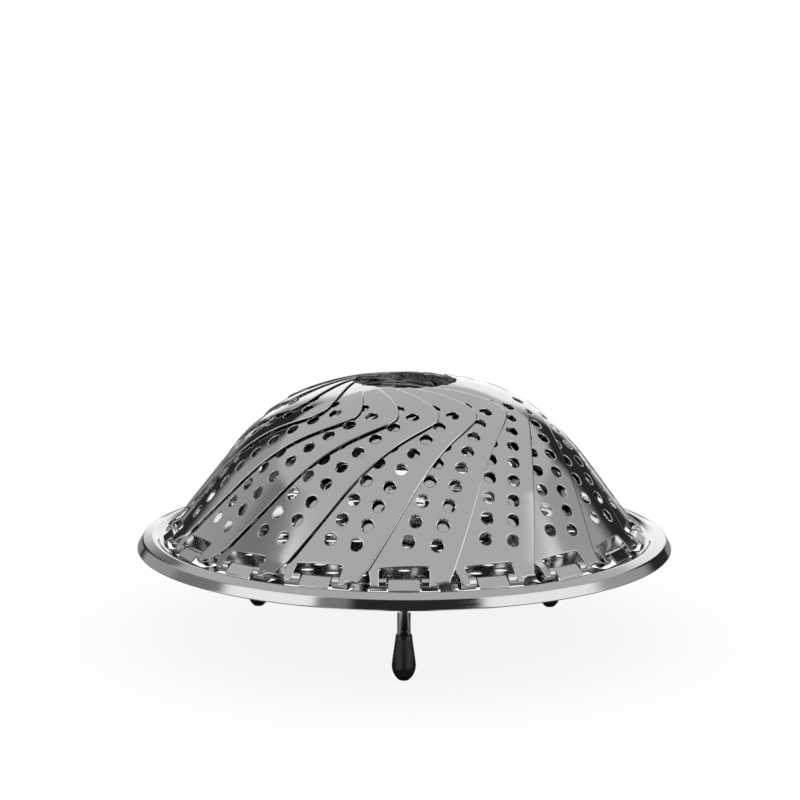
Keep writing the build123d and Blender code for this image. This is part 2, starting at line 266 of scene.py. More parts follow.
@dataclass(frozen=True)
class MirrorSteel(Finish):
    """Mirror-polished stainless sheet with faint waves and hair scratches."""

    colour: Colour = (0.54, 0.54, 0.545)
    roughness: Point2 = (0.045, 0.10)
    cloud_scale: float = 60.0
    cloud_levels: Point2 = (0.35, 0.75)
    wave_scale: float = 45.0
    wave_depth: float = 0.00004
    scratch_scale: float = 900.0
    scratch_depth: float = 0.0000006
    scratch_stretch: float = 0.04

    def dress(self, tree: Tree) -> Socket:
        """Build polished steel whose gloss drifts and whose face is not quite flat."""
        place = tree.place()
        cloud = tree.noise(place, self.cloud_scale, 3.0)
        waves = tree.bump(tree.noise(place, self.wave_scale, 1.0), self.wave_depth)
        scratch = tree.noise(
            tree.stretched(place, self.scratch_stretch), self.scratch_scale, 2.0
        )
        lines = tree.bump(scratch, self.scratch_depth, Normal=waves)
        gloss = tree.spread(cloud, self.cloud_levels, self.roughness)
        return tree.metal(self.colour, gloss, lines)


@dataclass(frozen=True)
class SatinSteel(Finish):
    """Polished stainless sheet with a very faint grain that runs round the tray."""

    colour: Colour = (0.52, 0.52, 0.525)
    roughness: Point2 = (0.06, 0.13)
    grain_scale: float = 3200.0
    grain_depth: float = 0.000001
    grain_turn: float = 0.002
    grain_share: float = 0.6
    cloud_scale: float = 70.0
    cloud_share: float = 0.4
    blend_levels: Point2 = (0.35, 0.65)
    anisotropy: float = 0.4

    def dress(self, tree: Tree) -> Socket:
        """Build steel whose grain lines are circles about the upright axis."""
        place = tree.place()
        x, y, z = tree.parts(place)
        turn = tree.math("MULTIPLY", tree.math("ARCTAN2", x, y), self.grain_turn)
        around = tree.out("ShaderNodeCombineXYZ", {0: tree.radius(x, y), 1: turn, 2: z})
        grain = tree.noise(around, self.grain_scale, 2.0)
        cloud = tree.noise(place, self.cloud_scale, 3.0)
        blend = tree.math("ADD", tree.math("MULTIPLY", grain, self.grain_share),
                          tree.math("MULTIPLY", cloud, self.cloud_share))
        gloss = tree.spread(blend, self.blend_levels, self.roughness)
        tangent = tree.out("ShaderNodeTangent", direction_type="RADIAL", axis="Z")
        return tree.metal(self.colour, gloss, tree.bump(grain, self.grain_depth),
                          Anisotropic=self.anisotropy, Tangent=tangent)


@dataclass(frozen=True)
class DrawnSteel(Finish):
    """Bright steel wire and strip with faint draw lines."""

    colour: Colour = (0.62, 0.62, 0.625)
    roughness: Point2 = (0.08, 0.17)
    line_scale: float = 1500.0
    line_depth: float = 0.000002
    line_stretch: float = 0.03
    line_levels: Point2 = (0.3, 0.7)

    def dress(self, tree: Tree) -> Socket:
        """Build bright steel with lines drawn along its height."""
        line = tree.noise(tree.stretched(tree.place(), self.line_stretch),
                          self.line_scale, 2.0)
        gloss = tree.spread(line, self.line_levels, self.roughness)
        return tree.metal(self.colour, gloss, tree.bump(line, self.line_depth))


@dataclass(frozen=True)
class BootRubber(Finish):
    """Smooth black moulded rubber with a fine skin and a little dust."""

    greys: tuple[Point2, ...] = ((0.40, 0.006), (0.75, 0.018))
    roughness: Point2 = (0.24, 0.40)
    skin_scale: float = 1800.0
    skin_depth: float = 0.00001
    dust_scale: float = 260.0
    dust_levels: Point2 = (0.3, 0.7)

    def dress(self, tree: Tree) -> Socket:
        """Build rubber with a pebbled skin and uneven shine."""
        place = tree.place()
        skin = tree.noise(place, self.skin_scale, 2.0)
        dust = tree.noise(place, self.dust_scale, 4.0)
        return tree.out(
            "ShaderNodeBsdfPrincipled",
            {"Base Color": tree.ramp(dust, self.greys),
             "Roughness": tree.spread(dust, self.dust_levels, self.roughness),
             "Normal": tree.bump(skin, self.skin_depth)},
        )


@dataclass(frozen=True)
class WhiteFloor(Finish):
    """A plain white floor that keeps a soft shadow. To mirrored rays it glows in painted bright
    and dark reflection zones, with a painted shadow near the axis.
    """

    glow: float = 0.88
    # Painted reflections: emission levels by degrees round the axis, seen only by mirrored rays,
    # like bright and dark cards laid on the floor.
    painted_reflection_zones: tuple[Point2, ...] = (
        (-180, 0.30), (-24, 0.30), (-20, 1.0), (-7, 1.0), (-4, 0.03), (7, 0.03),
        (10, 1.0), (20, 1.0), (24, 0.30), (180, 0.30),
    )
    # Painted shadow: the mirrored emission is darkened inside these radii, standing in for the
    # shade under the basket.
    shade_radii: Point2 = (0.060, 0.074)
    shade_levels: Point2 = (0.06, 1.0)

    def dress(self, tree: Tree) -> Socket:
        """Build a white that glows to the camera. To mirrored rays it shows painted reflection
        zones, darkened near the axis by a painted shadow under the basket.
        """
        path = tree.add("ShaderNodeLightPath").outputs
        x, y, _ = tree.parts(tree.place())
        # Painted shadow: from 0.06 near the axis up to 1 past the outer radius, applied only to
        # what steel mirrors.
        shade = tree.spread(tree.radius(x, y), self.shade_radii, self.shade_levels,
                            interpolation_type="SMOOTHSTEP")
        # Painted reflections: the zones' emission levels times the painted shadow, as an emission
        # that only steel mirrors.
        painted_reflections = tree.math("MULTIPLY", tree.zones(x, y, self.painted_reflection_zones), shade)
        shadowed = tree.out("ShaderNodeBsdfDiffuse", {"Color": WHITE})
        glowing, mirrored = (
            tree.out("ShaderNodeEmission", {"Color": colour, "Strength": 1.0})
            for colour in (WHITE, painted_reflections)
        )
        seen = tree.math("MULTIPLY", path["Is Camera Ray"], self.glow)
        direct = tree.blended(seen, shadowed, glowing)
        return tree.blended(path["Is Glossy Ray"], direct, mirrored)


# Placing pieces


def placed(name: str, data: bpy.types.ID) -> bpy.types.Object:
    """Put a mesh or camera in the scene as an object."""
    thing = bpy.data.objects.new(name, data)
    bpy.context.scene.collection.objects.link(thing)
    return thing


def settle(mesh: Mesh, name: str, finish: Finish, node: str) -> None:
    """Put a mesh in the scene as the piece that stands for a CAD node.

    Args:
        mesh: The mesh, in metres in the part's frame.
        name: The piece's name.
        finish: What it is made of.
        node: The CAD node that it replaces, and on whose body it rides.
    """
    mesh.name = name
    mesh.materials.clear()
    mesh.materials.append(finish.material())
    piece = placed(name, mesh)
    body = BODY_OF_NODE[node]
    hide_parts(node)
    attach(piece, body)
    log.info("%s: %d faces on %s", piece.name, len(mesh.polygons), body)


# Mesh making


def inside(spot: Sequence[float], loop: Sequence[Point2]) -> bool:
    """Tell whether a flat point lies in a closed loop, by counting crossings."""
    odd = False
    before = loop[-1]
    for after in loop:
        if (before[1] > spot[1]) != (after[1] > spot[1]):
            share = (spot[1] - before[1]) / (after[1] - before[1])
            if spot[0] < before[0] + share * (after[0] - before[0]):
                odd = not odd
        before = after
    return odd


@dataclass
class PressedSheet:
    """A thin pressing: a flat blank with holes, carried onto a curved surface.

    The blank is cut up into triangles, each corner is carried onto the outer face, and the
    inner face and half-round edges are added, with exact normals all over.
    """

    outline: list[Point2]
    holes: list[list[Point2]]
    inner_points: list[Point2]
    carry: Callable[[float, float], Spot]
    thickness: float
    edge_lean: float = 0.0
    edge_steps: int = 4
    snap: float = 1e-7

    def triangles(self) -> tuple[list[Vector], list[tuple[int, ...]]]:
        """Cut the blank up into triangles.

        Returns:
            The blank's corner points and its triangles, holes left out.
        """
        points: list[Vector] = []
        edges: list[tuple[int, int]] = []
        for loop in [self.outline, *self.holes]:
            first, count = len(points), len(loop)
            points += [Vector(spot) for spot in loop]
            edges += [(first + step, first + (step + 1) % count) for step in range(count)]
        points += [Vector(spot) for spot in self.inner_points]
        corners, _, faces, *_ = delaunay_2d_cdt(points, edges, [], 1, self.snap)
        boxes = [(*map(min, zip(*loop)), *map(max, zip(*loop)), loop) for loop in self.holes]
        kept = []
        for face in faces:
            middle = sum((corners[corner] for corner in face), Vector((0.0, 0.0))) / 3
            in_hole = any(
                low_x < middle[0] < high_x and low_y < middle[1] < high_y
                and inside(middle, loop)
                for low_x, low_y, high_x, high_y, loop in boxes
            )
            if not in_hole and inside(middle, self.outline):
                kept.append(tuple(face))
        return corners, kept

    def build(self) -> Part:
        """Make the sheet.

        Returns:
            Its vertices in millimetres, its faces and one normal for each vertex.
        """
        flat, faces = self.triangles()
        used = sorted({corner for face in faces for corner in face})
        number = {corner: place for place, corner in enumerate(used)}
        faces = [tuple(number[corner] for corner in face) for face in faces]
        places, normals = map(list, zip(*(self.carry(*flat[corner]) for corner in used)))
        a, b, c = faces[0]
        if (places[b] - places[a]).cross(places[c] - places[a]).dot(normals[a]) < 0:
            faces = [face[::-1] for face in faces]
        directed = {
            (face[step], face[(step + 1) % 3]) for face in faces for step in range(3)
        }
        border = sorted((a, b) for a, b in directed if (b, a) not in directed)
        outward: dict[int, Vector] = {}
        for a, b in border:
            for corner in (a, b):
                out = (places[b] - places[a]).normalized().cross(normals[corner])
                outward[corner] = outward.get(corner, Vector()) + out
        half = self.thickness / 2
        vertices = list(places)
        for corner, out in outward.items():
            out.normalize()
            vertices[corner] = places[corner] - out * half
        count = len(vertices)
        vertices += [vertices[n] - normals[n] * self.thickness for n in range(count)]
        made_normals = normals + [-normal for normal in normals]
        rings: dict[int, list[int]] = {}
        for corner, out in sorted(outward.items()):
            rings[corner] = [corner]
            middle = vertices[corner] - normals[corner] * half
            for step in range(1, self.edge_steps):
                turn = math.pi * step / self.edge_steps
                normal = normals[corner] * math.cos(turn) + out * math.sin(turn)
                rings[corner].append(len(vertices))
                vertices.append(middle + normal * half)
                made_normals.append(normal)
            rings[corner].append(corner + count)
            made_normals[corner] = (normals[corner] * math.cos(self.edge_lean)
                                    + out * math.sin(self.edge_lean))
        made = faces + [tuple(corner + count for corner in face[::-1]) for face in faces]
        made += [
            (rings[b][step], rings[a][step], rings[a][step + 1], rings[b][step + 1])
            for a, b in border
            for step in range(self.edge_steps)
        ]
        return vertices, made, made_normals


@dataclass
class Turning:
    """A solid turned about an axis from an outline of (radius, place along the axis)."""

    outline: list[Point2]
    sides: int

    def build(self, place: Matrix) -> Part:
        """Make the turned solid.

        Args:
            place: Where its Z axis and origin go, in millimetres.

        Returns:
            Its vertices and faces, without normals. Points on the axis become poles.
        """
        vertices: list[Vector] = []
        rows: list[list[int]] = []
        for radius, along in self.outline:
            first = len(vertices)
            count = self.sides if radius else 1
            rows.append([first + side % count for side in range(self.sides)])
            for side in range(count):
                turn = 2 * math.pi * side / self.sides
                spot = Vector((radius * math.cos(turn), radius * math.sin(turn), along))
                vertices.append(place @ spot)
        faces = []
        for low, high in zip(rows, rows[1:]):
            for side in range(self.sides):
                after = (side + 1) % self.sides
                corners = dict.fromkeys([low[side], low[after], high[after], high[side]])
                if len(corners) > 2:
                    faces.append(tuple(corners))
        return vertices, faces, None


def shade_smooth(mesh: Mesh, crease: float) -> None:
    """Shade a mesh smooth, but for edges past the crease angle."""
    mesh.polygons.foreach_set("use_smooth", [True] * len(mesh.polygons))
    mesh.set_sharp_from_angle(angle=crease)


def joined(name: str, *parts: Part, crease: float = math.radians(32)) -> Mesh:
    """Join parts into one smooth mesh.

    Args:
        name: The mesh's name.
        parts: Sheets and turned solids. One without normals has them worked out.
        crease: The angle past which worked-out normals split.

    Returns:
        The mesh in metres, with its normals set.
    """
    vertices: list[Vector] = []
    faces: list[tuple[int, ...]] = []
    normals: list[Vector | None] = []
    for corners, sides, given in parts:
        first = len(vertices)
        vertices += corners
        faces += [tuple(first + corner for corner in side) for side in sides]
        normals += given or [None] * len(corners)
    mesh = bpy.data.meshes.new(name)
    mesh.from_pydata([vertex * MM for vertex in vertices], [], faces)
    shade_smooth(mesh, crease)
    for edge in mesh.edges:
        if normals[edge.vertices[0]] is not None:
            edge.use_edge_sharp = False
    mesh.update()
    if any(normal is not None for normal in normals):
        loops = [tuple(normal.vector) for normal in mesh.corner_normals]
        for loop in mesh.loops:
            if normals[loop.vertex_index] is not None:
                loops[loop.index] = tuple(normals[loop.vertex_index])
        mesh.normals_split_custom_set(loops)
    return mesh


def smoothed_copy(node: str, crease: float = math.radians(35), merge: float = 2e-6) -> Mesh:
    """Copy a CAD node's mesh, merged and shaded smooth across its curved faces.

    Args:
        node: The node's name.
        crease: The angle past which an edge stays sharp.
        merge: How near corners are to count as one, in metres.

    Returns:
        The copied mesh.
    """
    mesh = frame["nodes"][node].data.copy()
    work = bmesh.new()
    work.from_mesh(mesh)
    bmesh.ops.remove_doubles(work, verts=work.verts, dist=merge)
    work.to_mesh(mesh)
    work.free()
    shade_smooth(mesh, crease)
    mesh.update()
    return mesh


class RingArray:
    """A Geometry Nodes tree that sets copies of a piece round the basket's upright axis."""

    def __init__(self) -> None:
        """Build the tree with its named inputs."""
        self.group = bpy.data.node_groups.new("RingArray", "GeometryNodeTree")
        face = self.group.interface
        face.new_socket("Geometry", in_out="OUTPUT", socket_type="NodeSocketGeometry")
        for name, kind in (("Piece", "Geometry"), ("Count", "Int"), ("First Turn", "Float"),
                           ("Turn Step", "Float"), ("Material", "Material")):
            face.new_socket(name, in_out="INPUT", socket_type=f"NodeSocket{kind}")
        tree = Tree(self.group)
        given = tree.add("NodeGroupInput").outputs
        line = tree.out("GeometryNodeMeshLine",
                        {"Count": given["Count"], "Offset": (0.0, 0.0, 0.0)})
        steps = tree.math("MULTIPLY", tree.out("GeometryNodeInputIndex"), given["Turn Step"])
        turn = tree.math("ADD", steps, given["First Turn"])
        copies = tree.out(
            "GeometryNodeInstanceOnPoints",
            {"Points": line, "Instance": given["Piece"],
             "Rotation": tree.out("ShaderNodeCombineXYZ", {2: turn})},
        )
        solid = tree.out("GeometryNodeRealizeInstances", {0: copies})
        dressed = tree.out("GeometryNodeSetMaterial",
                           {"Geometry": solid, "Material": given["Material"]})
        tree.add("NodeGroupOutput", {0: dressed})

    def turned(
        self, mesh: Mesh, finish: Finish, count: int, step: float, first: float = 0.0
    ) -> Mesh:
        """Set copies of a mesh round the axis and return them as one plain mesh.

        Args:
            mesh: The piece at the front.
            finish: What the copies are made of.
            count: How many copies.
            step: Turn from one copy to the next, in radians.
            first: Turn of the first copy, in radians.

        Returns:
            The realized mesh.
        """
        carrier = placed("carrier", mesh)
        modifier = carrier.modifiers.new("ring", "NODES")
        modifier.node_group = self.group
        values = {"Count": count, "First Turn": first, "Turn Step": step,
                  "Material": finish.material()}
        for item in self.group.interface.items_tree:
            if item.in_out == "INPUT" and item.name in values:
                modifier[item.identifier] = values[item.name]
        graph = bpy.context.evaluated_depsgraph_get()
        made = bpy.data.meshes.new_from_object(carrier.evaluated_get(graph), depsgraph=graph)
        bpy.data.objects.remove(carrier)
        return made


# Lines


def circle(middle: Point2, radius: float, sides: int) -> list[Point2]:
    """Return a closed ring of points about a middle."""
    return [
        (middle[0] + radius * math.cos(2 * math.pi * side / sides),
         middle[1] + radius * math.sin(2 * math.pi * side / sides))
        for side in range(sides)
    ]


def arc(middle: Point2, radius: float, turns: Iterable[int]) -> list[Point2]:
    """Return points about a middle, one at each turn in degrees."""
    return [
        (middle[0] + radius * math.cos(math.radians(turn)),
         middle[1] + radius * math.sin(math.radians(turn)))
        for turn in turns
    ]


def close_spaced(loop: Sequence[Point2], step: float) -> list[Point2]:
    """Return a closed loop with its long runs divided into steps."""
    spaced = []
    for (x, y), (to_x, to_y) in zip(loop, [*loop[1:], loop[0]]):
        count = max(1, round(math.hypot(to_x - x, to_y - y) / step))
        spaced += [
            (x + (to_x - x) * n / count, y + (to_y - y) * n / count) for n in range(count)
        ]
    return spaced


def drawn_in(loop: Sequence[Point2], width: float, least: float = 0.9) -> list[Point2]:
    """Return a closed loop's points moved inwards by a width.

    Args:
        loop: The loop, which runs anticlockwise.
        width: How far its points move.
        least: The share of the width that a moved point keeps from every point of the loop.

    Returns:
        The moved points, without those that would come nearer.
    """
    moved = []
    for number, spot in enumerate(loop):
        before, after = Vector(loop[number - 1]), Vector(loop[(number + 1) % len(loop)])
        run = (after - before).normalized()
        inward = Vector(spot) + Vector((-run.y, run.x)) * width
        if min(math.hypot(inward.x - x, inward.y - y) for x, y in loop) > width * least:
            moved.append((inward.x, inward.y))
    return moved


def smooth_line(points: Sequence[Point2], step: float) -> list[Point2]:
    """Draw a natural cubic spline through points.

    Args:
        points: The points that it passes through.
        step: About how far apart the drawn points are.

    Returns:
        Points along the spline, both ends included.
    """
    knots = np.array(points, float)
    gaps = np.hypot(*np.diff(knots, axis=0).T)
    count = len(knots)
    system, right = np.eye(count), np.zeros((count, 2))
    for row in range(1, count - 1):
        before, after = gaps[row - 1], gaps[row]
        system[row, row - 1: row + 2] = before, 2 * (before + after), after
        slopes = (knots[row + 1] - knots[row]) / after - (knots[row] - knots[row - 1]) / before
        right[row] = 6 * slopes
    bends = np.linalg.solve(system, right)
    drawn = []
    for row in range(count - 1):
        gap = gaps[row]
        pieces = max(1, round(gap / step))
        for piece in range(pieces + (row == count - 2)):
            done = gap * piece / pieces
            left = gap - done
            spot = (
                (bends[row] * left ** 3 + bends[row + 1] * done ** 3) / (6 * gap)
                + (knots[row] / gap - bends[row] * gap / 6) * left
                + (knots[row + 1] / gap - bends[row + 1] * gap / 6) * done
            )
            drawn.append((float(spot[0]), float(spot[1])))
    return drawn


def eased(share: float) -> float:
    """Return a share that is held between 0 and 1 and eased at both ends."""
    share = min(max(share, 0.0), 1.0)
    return share * share * (3.0 - 2.0 * share)


# The basket


@dataclass
class Leaves:
    """The lapped leaves, all alike, each hinged in the tray's hinge channel."""

    hinge_radius: float = HINGE_RADIUS
    hinge_height: float = HINGE_HEIGHT
    barrel_radius: float = 1.45
    barrel_length: float = 19.6
    barrel_bevel: float = 0.12
    barrel_sides: int = 40
    curl_radius: float = 1.82
    neck_radius: float = 0.7
    neck_length: float = 10.0
    sheet: float = 0.25
    inset: float = 0.06
    wall_angle: float = math.radians(51.5)
    wall_length: float = 27.5
    axis_shift: float = 6.77
    side_lean: float = math.radians(2.9)
    press_angle: float = math.radians(60.0)
    press_rounds: int = 8
    lap: float = 18.5
    side_margin: float = 0.08
    tip_radius: float = 8.5
    mouth_radius: float = 16.4
    mouth_degrees: tuple[int, int] = (-80, 100)
    mouth_skip: int = 3
    mouth_rounds: int = 12
    least_rise: float = 0.2
    slot_half_width: float = 7.2
    slot_height: float = 4.1
    slot_corner: float = 0.7
    foot: float = -2.15
    foot_cover: float = 0.40
    foot_blend: float = 5.0
    shelf: float = -0.8
    shelf_slope: float = 1.2
    hole_radius: float = 1.85
    hole_pitch: float = 6.0
    hole_pitch_growth: float = 0.055
    hole_sides: int = 28
    droop_depth: float = 0.9
    droop_middle: float = 27.0
    droop_spread: float = 22.0
    droop_width: float = 6.0
    rim_width: float = 0.4
    rim_lean: float = math.radians(40.0)
    curve_step: float = 0.9
    edge_step: float = 1.0
    grid: float = 2.0
    grid_squeeze: float = 0.97
    grid_columns: tuple[int, int] = (-8, 20)
    hole_clearance: float = 0.4
    edge_clearance: float = 0.7
    right_points: int = 8
    outline_shares: tuple[Point2, ...] = (
        (0.425, 0.0), (0.543, 0.147), (0.639, 0.279), (0.741, 0.433), (0.843, 0.592),
        (0.933, 0.718), (0.997, 0.823), (1.0, 0.874), (0.946, 0.914), (0.831, 0.942),
        (0.591, 0.973), (0.288, 0.994), (0.048, 1.0), (-0.276, 0.969), (-0.591, 0.883),
        (-0.866, 0.715), (-1.0, 0.520), (-1.0, 0.335), (-0.913, 0.158), (-0.772, 0.0),
    )
    hole_rows: tuple[tuple[float, float, float, int], ...] = (
        (0.305, 0.141, 0.2965, 9), (0.038, 0.155, 0.340, 9), (-0.215, 0.199, 0.310, 7),
    )

    def __post_init__(self) -> None:
        """Work out the blank's height, its reach to each side and its right side's line."""
        half_pitch = math.pi * self.hinge_radius / PLACES
        self.reach_right = half_pitch + self.lap
        self.reach_left = half_pitch - self.side_margin
        self.height = (self.hinge_radius - self.tip_radius) / math.sin(self.press_angle)
        self.hinge_middle = Vector((0.0, -self.hinge_radius, self.hinge_height))
        self.upright = Matrix.Rotation(-self.side_lean, 3, "Y")
        right = self.outline_shares[:self.right_points]
        self.right_side = ([up * self.height for _, up in right],
                           [across * self.reach_right for across, _ in right])

    def wall_spot(self, along: float) -> Point2:
        """Return (radius, height) this far up the straight wall."""
        offset = self.barrel_radius - self.inset
        sine, cosine = math.sin(self.wall_angle), math.cos(self.wall_angle)
        return (
            self.hinge_radius + offset * sine - along * cosine,
            self.hinge_height + offset * cosine + along * sine,
        )

    def distance(self, spot: Vector) -> tuple[float, Vector]:
        """Measure how far a point is outside the outer face.

        Args:
            spot: The point, in millimetres.

        Returns:
            The distance and the face's normal there.
        """
        sine, cosine = math.sin(self.wall_angle), math.cos(self.wall_angle)
        leaning = self.upright.transposed()
        spot = self.hinge_middle + self.upright @ (spot - self.hinge_middle)
        across = Vector((spot.x - self.axis_shift, spot.y))
        radius = across.length
        foot = self.wall_spot(0.0)
        along = (foot[0] - radius) * cosine + (spot.z - foot[1]) * sine
        if along <= self.wall_length:
            out = (radius - foot[0]) * sine + (spot.z - foot[1]) * cosine
            flat = across / radius
            return out, leaning @ Vector((flat.x * sine, flat.y * sine, cosine))
        start = self.wall_spot(self.wall_length)
        ball = start[0] / sine
        middle = Vector((self.axis_shift, 0.0, start[1] - ball * cosine))
        arm = spot - middle
        return arm.length - ball, leaning @ arm.normalized()

    def droop(self, across: float, up: float) -> float:
        """Return how far the right margin is pressed in, down towards the next leaf."""
        edge = float(np.interp(up, *self.right_side))
        rise = (up - self.droop_middle) / self.droop_spread
        near = eased(1.0 - (edge - across) / self.droop_width)
        return self.droop_depth * near * math.exp(-rise * rise)

    def carry(self, across: float, up: float) -> Spot:
        """Carry a point of the flat blank onto the leaf's outer face.

        Args:
            across: The point's place across the blank.
            up: The point's place up the blank.

        Returns:
            The place on the face, which lies straight along the barrel at its foot, and the
            normal there of the smooth face, without the pressed-in margin.
        """
        sine, cosine = math.sin(self.press_angle), math.cos(self.press_angle)
        press = Vector((0.0, -cosine, sine))
        wall = Vector((0.0, -math.sin(self.wall_angle), math.cos(self.wall_angle)))
        flush = self.barrel_radius + self.foot_cover
        straight = eased(1.0 - up / self.foot_blend)
        spot = Vector((across, -self.hinge_radius + up * sine, self.hinge_height + up * cosine))
        for _ in range(self.press_rounds):
            out, normal = self.distance(spot)
            level = (spot - self.hinge_middle).dot(wall) - flush
            out += (level - out) * straight
            normal = normal.lerp(wall, straight)
            spot = spot - press * (out / normal.dot(press))
        normal.normalize()
        return spot - normal * self.droop(across, up), normal

    def flat_spot(self, spot: Vector) -> Point2:
        """Return where a place on the leaf lies on its flat blank."""
        sine, cosine = math.sin(self.press_angle), math.cos(self.press_angle)
        return spot.x, (spot.y + self.hinge_radius) * sine + (spot.z - self.hinge_height) * cosine

    def mouth_line(self) -> list[Point2]:
        """Return the mouth's circle as it lies on the flat blank, one point a degree."""
        line = []
        for x, y in arc((0.0, 0.0), 1.0, range(*self.mouth_degrees)):
            spot = Vector((self.mouth_radius * y, -self.mouth_radius * x, self.hinge_height))
            for _ in range(self.mouth_rounds):
                out, normal = self.distance(spot)
                spot.z -= out / max(normal.z, self.least_rise)
            line.append(self.flat_spot(spot))
        return line

    def edge(self) -> list[Point2]:
        """Return the blank's edge above its foot, with the mouth's arc cut from it."""
        edge = smooth_line([
            (across * (self.reach_right if across > 0 else self.reach_left), up * self.height)
            for across, up in self.outline_shares
        ], self.curve_step)
        mouth = self.mouth_line()
        lost = [
            number for number, spot in enumerate(edge)
            if math.hypot(*self.carry(*spot)[0].xy) < self.mouth_radius
        ]
        first, last = lost[0], lost[-1]
        start, end = (
            min(range(len(mouth)), key=lambda n: (Vector(mouth[n]) - Vector(kept)).length)
            for kept in (edge[first - 1], edge[last + 1])
        )
        step = self.mouth_skip if end > start else -self.mouth_skip
        return edge[:first] + mouth[start:end:step] + [mouth[end]] + edge[last + 1:]

    def outline(self) -> list[Point2]:
        """Return the blank's whole outline, with its foot and hinge slot."""
        edge = self.edge()
        corner, half, top = self.slot_corner, self.slot_half_width, self.slot_height
        lug = self.barrel_length / 2
        slot = [(-lug, self.foot + corner), (-lug + corner, self.foot), (-half, self.foot),
                (-half, top / 2)]
        slot += arc((-half + corner, top - corner), corner, range(180, 89, -15))
        slot += arc((half - corner, top - corner), corner, range(90, -1, -15))
        slot += [(half, top / 2), (half, self.foot), (lug - corner, self.foot),
                 (lug, self.foot + corner), (lug + self.shelf_slope, self.shelf),
                 (edge[0][0], self.shelf)]
        return close_spaced(edge + slot, self.edge_step)

    def hole_middles(self) -> list[Point2]:
        """Return the holes' middles on the blank, row by row."""
        middles = []
        for across, up, lean, count in self.hole_rows:
            for number in range(count):
                rise = number * (self.hole_pitch + number * self.hole_pitch_growth)
                middles.append((across * self.reach_right + lean * rise,
                                up * self.height + rise))
        return middles

    def grid_spots(self, outline: list[Point2], middles: list[Point2]) -> list[Point2]:
        """Return a grid of points on the blank that keep off its edge and its holes.

        Args:
            outline: The blank's outline.
            middles: The holes' middles.

        Returns:
            The grid's points, row by row.
        """
        keep_off = self.hole_radius + self.rim_width + self.hole_clearance
        near = self.edge_clearance
        kept = []
        for row in range(1, int(self.height / self.grid) + 1):
            y = row * self.grid * self.grid_squeeze
            for column in range(*self.grid_columns):
                x = (column + (row % 2) / 2) * self.grid
                blocked = any(
                    math.hypot(x - to_x, y - to_y) < keep_off for to_x, to_y in middles
                ) or any(abs(x - to_x) < near and abs(y - to_y) < near for to_x, to_y in outline)
                if not blocked and inside((x, y), outline):
                    kept.append((x, y))
        return kept

    def barrel(self) -> Part:
        """Make the barrel at the leaf's foot, with its thin neck in the middle."""
        bevel, half, neck = self.barrel_bevel, self.barrel_length / 2, self.neck_length / 2
        big, small = self.curl_radius, self.neck_radius
        side = [
            (0.0, half), (big - bevel, half), (big, half - bevel), (big, neck + bevel),
            (big - bevel, neck), (small, neck),
        ]
        line = [(radius, -along) for radius, along in side] + side[::-1]
        place = Matrix.Translation(self.hinge_middle) @ Matrix.Rotation(math.pi / 2, 4, "Y")
        return Turning(line, self.barrel_sides).build(place)

    def front_mesh(self) -> Mesh:
        """Make the front leaf, closed.

        Returns:
            Its mesh: the pressed sheet with its holes, and the barrel at its foot.
        """
        outline, middles = self.outline(), self.hole_middles()
        holes, rims = (
            [circle(middle, radius, self.hole_sides) for middle in middles]
            for radius in (self.hole_radius, self.hole_radius + self.rim_width)
        )
        inner = [spot for rim in rims for spot in rim]
        inner += drawn_in(outline, self.rim_width)
        inner += self.grid_spots(outline, middles)
        sheet = PressedSheet(outline, holes, inner, self.carry, self.sheet, self.rim_lean)
        return joined("front_leaf", sheet.build(), self.barrel())

    def build(self, ring: RingArray) -> None:
        """Make every leaf and set each on its own body.

        Args:
            ring: The array that turns the front leaf into place.
        """
        finish = MirrorSteel()
        front = self.front_mesh()
        step = 2 * math.pi / PLACES
        for number in range(PLACES):
            node = f"leaf_{number + 1:02d}"
            mesh = ring.turned(front, finish, 1, 0.0, number * step)
            settle(mesh, f"polished_{node}", finish, node)


